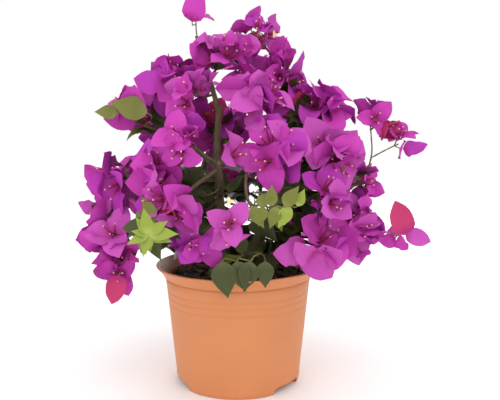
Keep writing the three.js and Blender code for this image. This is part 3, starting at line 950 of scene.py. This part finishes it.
class BUSH_OT_bracts(bpy.types.Operator):
    """Set three papery bracts round every flower"""
    bl_idname = "bush.bracts"
    bl_label = "Bracts"

    def execute(self, context):
        settings = context.scene.bush.bracts
        rng = np.random.default_rng(settings.seed + 4)
        pattern, petals, _, tints = bract_plan()
        colours = (("magenta", settings.magenta), ("bright", settings.bright),
                   ("violet", settings.violet), ("young", settings.young))
        for tint, (name, colour) in enumerate(colours):
            blocks = [points[kept & (tints == tint)] for points, kept in petals]
            if name != "violet":
                blocks.append(special_points(pattern, name, 0.1, 0.15, rng))
            mesh = pattern.repeat("bracts_" + name, np.concatenate(blocks), uv=blade_chart(pattern))
            # The bracts' deeper crimson foot colour is painted shade where the three bracts of a flower
            # meet.
            finish = blade_finish("bract_" + name, colour, [part * 0.62 for part in colour],
                                  shade(170, 34, 118), 0.6, 0.3, 0.15)
            replaced = [mass for mass in MASSES if mass not in LEAF_MASSES] if name == "magenta" else ()
            add_piece("bracts_" + name, mesh, finish, replaced)
        return {"FINISHED"}


class BUSH_OT_flowers(bpy.types.Operator):
    """Put the slender flower tubes, and some small pale stars, among the bracts"""
    bl_idname = "bush.flowers"
    bl_label = "Flower tubes and stars"

    def execute(self, context):
        settings = context.scene.bush.bracts
        rng = np.random.default_rng(settings.seed + 2)
        starts, axes, first, second, sizes, kinds = flower_frames()
        tube_ends = starts + TUBE_LENGTH * sizes[:, None] * axes
        tip_room = in_the_clear(tube_ends[:, None]) | (kinds == "special")
        shown = (kinds != "bud") & (bract_plan()[2] == 3) & tip_room
        starts, axes, first, second, sizes = (part[shown] for part in (starts, axes, first, second, sizes))
        count = len(starts)
        shape = bmesh.new()
        bmesh.ops.create_cone(shape, cap_ends=True, segments=5, radius1=1.0, radius2=1.0, depth=1.0)
        bmesh.ops.translate(shape, verts=shape.verts, vec=(0, 0, 0.5))
        lengthways = [edge for edge in shape.edges if abs(edge.verts[0].co.z - edge.verts[1].co.z) > 0.5]
        bmesh.ops.subdivide_edges(shape, edges=lengthways, cuts=4, use_grid_fill=False)
        for vertex in shape.verts:
            waist = np.interp(vertex.co.z, (0, 0.2, 0.42, 0.6, 0.8, 1.0), (0.5, 1.0, 1.05, 0.62, 0.9, 0.55))
            vertex.co.xy *= waist
        tube = Pattern(shape)
        blocks, tips, headings = [], [], []
        for petal in range(3):
            turn = (petal * math.tau / 3 + rng.normal(scale=0.25, size=count))[:, None]
            away = np.cos(turn) * first + np.sin(turn) * second
            lean = (0.24 + rng.normal(scale=0.08, size=count))[:, None]
            heading = np.cos(lean) * axes + np.sin(lean) * away
            side, other = across(heading, away)
            length = TUBE_LENGTH * sizes * rng.normal(1.0, 0.1, size=count)
            size = np.stack([np.full(count, 0.00105), np.full(count, 0.00105), length], 1)
            origin = starts + 0.002 * away
            blocks.append(stamped(tube, origin, side, other, heading, size))
            tips.append(origin + heading * length[:, None])
            headings.append(heading)
        mesh = tube.repeat("flower_tubes", np.concatenate(blocks))
        add_piece("flower_tubes", mesh, crumb_finish("flower_tube", shade(142, 24, 78), shade(190, 66, 112),
                                                     300.0, 0.6))
        tips, headings = np.concatenate(tips), np.concatenate(headings)
        shape = bmesh.new()
        bmesh.ops.create_circle(shape, cap_ends=True, segments=10, radius=1.0)
        bmesh.ops.poke(shape, faces=shape.faces)
        for vertex in shape.verts:
            reach = vertex.co.xy.length
            if reach > 0.5:
                inner = round(math.atan2(vertex.co.y, vertex.co.x) / (math.tau / 10)) % 2
                vertex.co.xy *= 0.48 if inner else 1.0
                vertex.co.z = 0.06 if inner else 0.24
        star = Pattern(shape)
        stars = rng.random(len(tips)) < 0.012
        spots = np.concatenate([tips[stars], [in_mass(mass, (0, -1, 1)) for mass in FACING_STARS]])
        ways = np.concatenate([headings[stars], unit([(0.1, -1, 0.2)] * len(FACING_STARS))])
        side, other = upright(ways)
        size = np.full((len(ways), 3), 0.0038)
        mesh = star.repeat("flower_stars", stamped(star, spots, side, other, ways, size))
        finish = crumb_finish("flower_star", shade(236, 206, 140), shade(250, 238, 196), 500.0, 0.6)
        add_piece("flower_stars", mesh, finish)
        buds = ~stars
        shape = bmesh.new()
        bmesh.ops.create_icosphere(shape, subdivisions=1, radius=1.0)
        bead = Pattern(shape)
        side, other = upright(headings[buds])
        size = np.tile((0.00095, 0.00095, 0.0013), (buds.sum(), 1))
        mesh = bead.repeat("flower_tips", stamped(bead, tips[buds], side, other, headings[buds], size))
        add_piece("flower_tips", mesh, crumb_finish("flower_tip", shade(226, 150, 150), shade(246, 206, 180),
                                                    500.0, 0.6))
        return {"FINISHED"}


@lru_cache(maxsize=None)
def leaf_plan():
    """The pattern of a leaf, the seeded leaves' points, which are kept, and their kinds."""
    settings = bpy.context.scene.bush.leaves
    rng = np.random.default_rng(bpy.context.scene.bush.bracts.seed + 3)
    starts, headings, sizes, kinds = (np.array(part) for part in zip(*crown_plan()[1]))
    count = len(starts)
    faces = unit(np.tile((0, 0, 1.0), (count, 1)) + 0.5 * unit(starts - np.array(CROWN_HEART))
                 + rng.normal(scale=0.35, size=(count, 3)))
    pattern = blade_pattern(LEAF_OUTLINE, 4, 8)
    points = blades(pattern, starts, headings, faces, settings.length * sizes,
                    rng.normal(0.68, 0.06, size=count), rng.normal(-0.5, 0.3, size=count),
                    rng.normal(-0.1, 0.1, size=count), rng.normal(0.3, 0.12, size=count),
                    np.abs(rng.normal(0.06, 0.04, size=count)), rng)
    return pattern, points, in_the_clear(points), kinds


class BUSH_OT_leaves(bpy.types.Operator):
    """Hang the leaves among the flowers"""
    bl_idname = "bush.leaves"
    bl_label = "Leaves"

    def execute(self, context):
        settings = context.scene.bush.leaves
        rng = np.random.default_rng(context.scene.bush.bracts.seed + 5)
        pattern, points, kept, kinds = leaf_plan()
        finishes = (("dark", settings.dark, shade(92, 100, 58), 0.34, "leaves", "pot_leaves"),
                    ("middle", settings.middle, shade(140, 146, 80), 0.4, "leaves", "green_shoot"),
                    ("lime", settings.lime, shade(186, 196, 104), 0.45, "young_leaves", "lime_shoot"))
        for name, colour, vein, roughness, slot, node in finishes:
            blocks = [points[kept & (kinds == name)], special_points(pattern, name, 0.2, -0.05, rng)]
            mesh = pattern.repeat("leaves_" + name, np.concatenate(blocks), uv=blade_chart(pattern))
            finish = blade_finish("leaf_" + name, colour, vein, vein, roughness, 0.4, 0.3)
            add_piece("leaves_" + name, mesh, finish, [node])
        return {"FINISHED"}


class BUSH_OT_twigs(bpy.types.Operator):
    """Grow twigs from the boughs out to every flower and leaf"""
    bl_idname = "bush.twigs"
    bl_label = "Twigs"

    def execute(self, context):
        wood = context.scene.bush.wood
        kept = bract_plan()[2] > 1
        starts, axes = flower_frames()[:2]
        targets = list(zip(starts[kept], axes[kept]))
        targets += [leaf[:2] for leaf, kept in zip(crown_plan()[1], leaf_plan()[2]) if kept]
        targets += list(zip(*special_blades()[:2]))
        nodes = [point for name in LIMBS for point in limb_line(name)[::3]]
        nodes = np.array([point for point in nodes if point[2] > TWIGS_FROM])
        parent = [-1] * len(nodes)
        order = np.argsort([np.linalg.norm(nodes - start, axis=1).min() for start, _ in targets])
        paths = []
        points = list(nodes)
        heart = np.array(CROWN_HEART)
        for index in order:
            start, axis = targets[index]
            known = np.array(points)
            apart = np.linalg.norm(known - start, axis=1)
            beyond = np.maximum(0, np.linalg.norm(known - heart, axis=1) - np.linalg.norm(start - heart))
            root = int(np.argmin(apart + 2.5 * beyond + np.where(apart < 0.006, 0.02, 0)))
            reach = apart[root]
            bend = start - axis * min(0.4 * reach, 0.02)
            path, before = [root], known[root]
            steps = max(2, round(reach / TWIG_STEP))
            for step in range(1, steps + 1):
                t = step / steps
                points.append((1 - t) ** 2 * before + 2 * t * (1 - t) * bend + t * t * start)
                parent.append(path[-1])
                path.append(len(points) - 1)
            paths.append(path)
        load = np.zeros(len(points))
        for path in paths:
            at = path[-1]
            while at >= 0:
                load[at] += 1
                at = parent[at]
        points = np.array(points)
        radius = wood.twig_radius * np.maximum(load, 1) ** 0.42
        woody, green = [], []
        for path in paths:
            radii = np.minimum(radius[path], radius[path[1]])
            group = woody if radii.max() > 1.7 * wood.twig_radius else green
            group.append((points[path], radii))
        mesh = tubes_mesh("twigs_woody", woody, 6)
        add_piece("twigs_woody", mesh, bark_finish("twig_bark", [part * 0.9 for part in wood.bark],
                                                   shade(120, 104, 74), 300.0))
        mesh = tubes_mesh("twigs_green", green, 5)
        add_piece("twigs_green", mesh, bark_finish("twig_green", wood.green, shade(148, 144, 80), 300.0))
        return {"FINISHED"}


# ------------------------------------------------------------------ stage

def soft_light(name, where, size, power, colour=(1, 1, 1)):
    """A square soft light that faces the plant."""
    lamp = bpy.data.lights.new(name, "AREA")
    lamp.size, lamp.energy, lamp.color = size, power, colour
    holder = bpy.data.objects.new(name, lamp)
    bpy.context.scene.collection.objects.link(holder)
    holder.location = where
    holder.rotation_euler = (Vector((0, 0, 0.2)) - Vector(where)).to_track_quat("-Z", "Y").to_euler()


class BUSH_OT_stage(bpy.types.Operator):
    """Set up the pale floor, the soft lights and the camera"""
    bl_idname = "bush.stage"
    bl_label = "Stage"

    def execute(self, context):
        scene = context.scene
        size = scene.bush.stage
        shape = bmesh.new()
        bmesh.ops.create_grid(shape, x_segments=2, y_segments=2, size=6.0)
        floor = bpy.data.objects.new("floor", mesh_from_bmesh("floor", shape))
        scene.collection.objects.link(floor)
        material, nodes, links, surface = new_finish("floor_card", (0.95, 0.95, 0.95), 0.9)
        relief(nodes, links, surface, speckle(nodes, links, 60.0), 0.0002, 0.2)
        floor.data.materials.append(material)
        lens = bpy.data.cameras.new("camera")
        lens.lens, lens.sensor_width = size.lens, 36.0
        camera = bpy.data.objects.new("camera", lens)
        scene.collection.objects.link(camera)
        camera.location = (size.aside, -size.distance, size.eye_height)
        camera.rotation_euler = (math.pi / 2 - size.pitch, 0, 0)
        scene.camera = camera
        soft_light("key", (0.3, -1.25, 0.36), 0.8, 1.0)
        soft_light("fill", (-0.9, -0.9, 0.3), 1.0, 1.5)
        soft_light("back", (0.1, 1.4, 0.6), 1.4, 8)
        overhead = bpy.data.lights.new("overhead", "SUN")
        overhead.energy, overhead.angle = 0.7, math.radians(70)
        holder = bpy.data.objects.new("overhead", overhead)
        scene.collection.objects.link(holder)
        holder.rotation_euler = (math.radians(25), math.radians(8), 0)
        world = bpy.data.worlds.new("studio")
        world.use_nodes = True
        nodes, links = world.node_tree.nodes, world.node_tree.links
        sky = nodes["Background"]
        sky.inputs["Color"].default_value = (1, 1, 1, 1)
        seen = nodes.new("ShaderNodeLightPath").outputs["Is Camera Ray"]
        links.new(maths(nodes, links, "MULTIPLY_ADD", seen, 0.05, 0.95), sky.inputs["Strength"])
        scene.world = world
        scene.view_settings.view_transform = "Standard"
        return {"FINISHED"}


# ------------------------------------------------------------------ panel and running

PIECES = (BUSH_OT_stage, BUSH_OT_pot, BUSH_OT_soil, BUSH_OT_limbs, BUSH_OT_twigs, BUSH_OT_leaves,
          BUSH_OT_bracts, BUSH_OT_flowers)


class BUSH_PT_panel(bpy.types.Panel):
    """Buttons for the bush's pieces"""
    bl_label = "Bougainvillea"
    bl_idname = "BUSH_PT_panel"
    bl_space_type = "VIEW_3D"
    bl_region_type = "UI"
    bl_category = "Bougainvillea"

    def draw(self, context):
        for piece in PIECES:
            self.layout.operator(piece.bl_idname)


CLASSES = (PotSettings, BractSettings, LeafSettings, WoodSettings, StageSettings, BushSettings,
           *PIECES, BUSH_PT_panel)


def register():
    for kind in CLASSES:
        bpy.utils.register_class(kind)
    bpy.types.Scene.bush = bpy.props.PointerProperty(type=BushSettings)


def unregister():
    del bpy.types.Scene.bush
    for kind in reversed(CLASSES):
        bpy.utils.unregister_class(kind)


def main():
    register()
    for piece in PIECES:
        getattr(bpy.ops.bush, piece.bl_idname.split(".")[1])()


if __name__ == "__main__":
    main()
